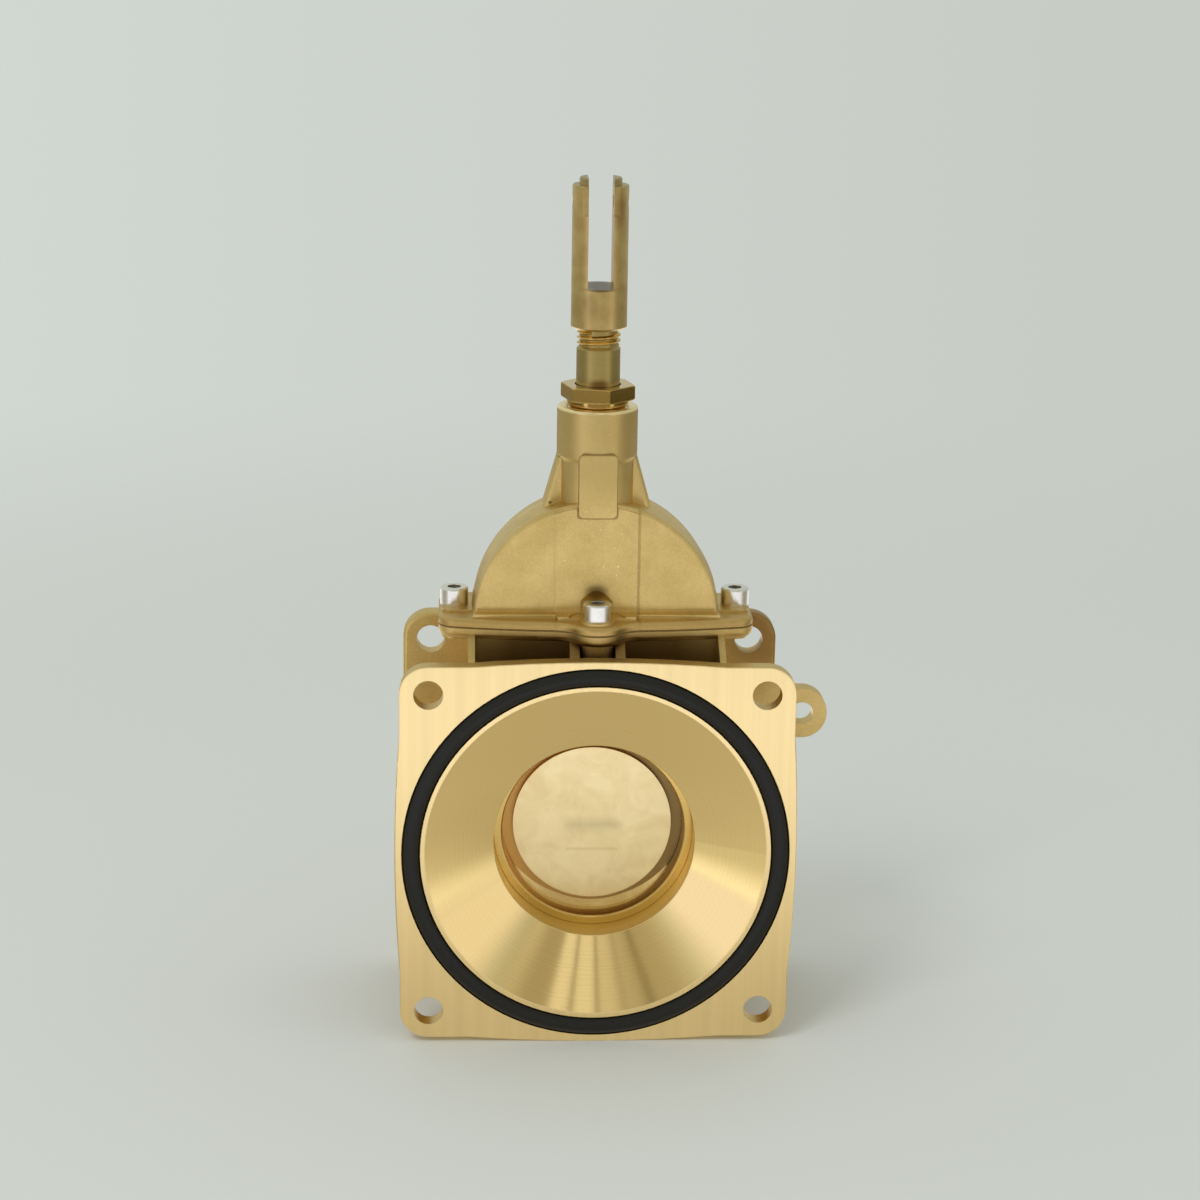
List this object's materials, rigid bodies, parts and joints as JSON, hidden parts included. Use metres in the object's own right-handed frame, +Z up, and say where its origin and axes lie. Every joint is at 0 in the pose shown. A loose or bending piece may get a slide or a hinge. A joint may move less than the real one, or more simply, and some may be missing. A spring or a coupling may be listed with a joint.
{
  "type": "slide gate valve",
  "caption": "Brass slide gate valve with square flanges, a domed bonnet and a rising stem that ends in a lever fork.",
  "frame": {"origin": "centre of the front flange's machined face, on the axis of the bore", "axes": "+Z up along the stem, +Y back along the bore from the front flange to the rear flange, +X right towards the lifting lug"},
  "size_m": [0.2083, 0.1023, 0.3965],
  "materials": {
    "cast_brass": "as cast, blasted",
    "turned_brass": "turned, bright",
    "fork_brass": "drawn and milled",
    "gate_brass": "ground",
    "stainless_steel": "satin",
    "seal_rubber": "satin",
    "gasket_sheet": "matte",
    "packing_cord": "matte"
  },
  "bodies": {
    "valve": {"valve_body": "cast_brass", "bonnet": "cast_brass", "front_seal_ring": "seal_rubber", "front_seat_ring": "turned_brass", "rear_seat_ring": "turned_brass", "bonnet_gasket": "gasket_sheet", "bonnet_screw_left": "stainless_steel", "bonnet_screw_right": "stainless_steel", "bonnet_screw_front": "stainless_steel", "bonnet_screw_rear": "stainless_steel", "stem_bush": "turned_brass", "packing_ring_1": "packing_cord", "packing_ring_2": "packing_cord", "packing_ring_3": "packing_cord", "packing_ring_4": "packing_cord"},
    "gate": {"gate_front_disc": "gate_brass", "gate_rear_disc": "gate_brass", "gate_spring": "stainless_steel"},
    "stem": {"stem": "turned_brass", "clevis_fork": "fork_brass"},
    "gland_follower": {"gland_follower": "turned_brass"},
    "gland_nut": {"gland_nut": "turned_brass"}
  },
  "joints": [
    {"name": "gate_lift", "type": "slide", "parent": "valve", "child": "gate", "axis": [0, 0, 1], "range_m": [0, 0.092]},
    {"name": "stem_swivel", "type": "hinge", "parent": "gate", "child": "stem", "pos_m": [0, 0.05, 0.052], "axis": [0, 0, 1], "continuous": true},
    {"name": "gland_feed", "type": "slide", "parent": "valve", "child": "gland_follower", "axis": [0, 0, -1], "range_m": [0, 0.0025], "deforming": ["packing_ring_1", "packing_ring_2", "packing_ring_3", "packing_ring_4"]},
    {"name": "gland_nut_turn", "type": "hinge", "parent": "gland_follower", "child": "gland_nut", "pos_m": [0, 0.05, 0.2069], "axis": [0, 0, -1], "range_deg": [0, 605]}
  ],
  "couplings": [
    {"joint": "gland_nut_turn", "follows": "gland_feed", "rad_per_m": 4188.8}
  ]
}
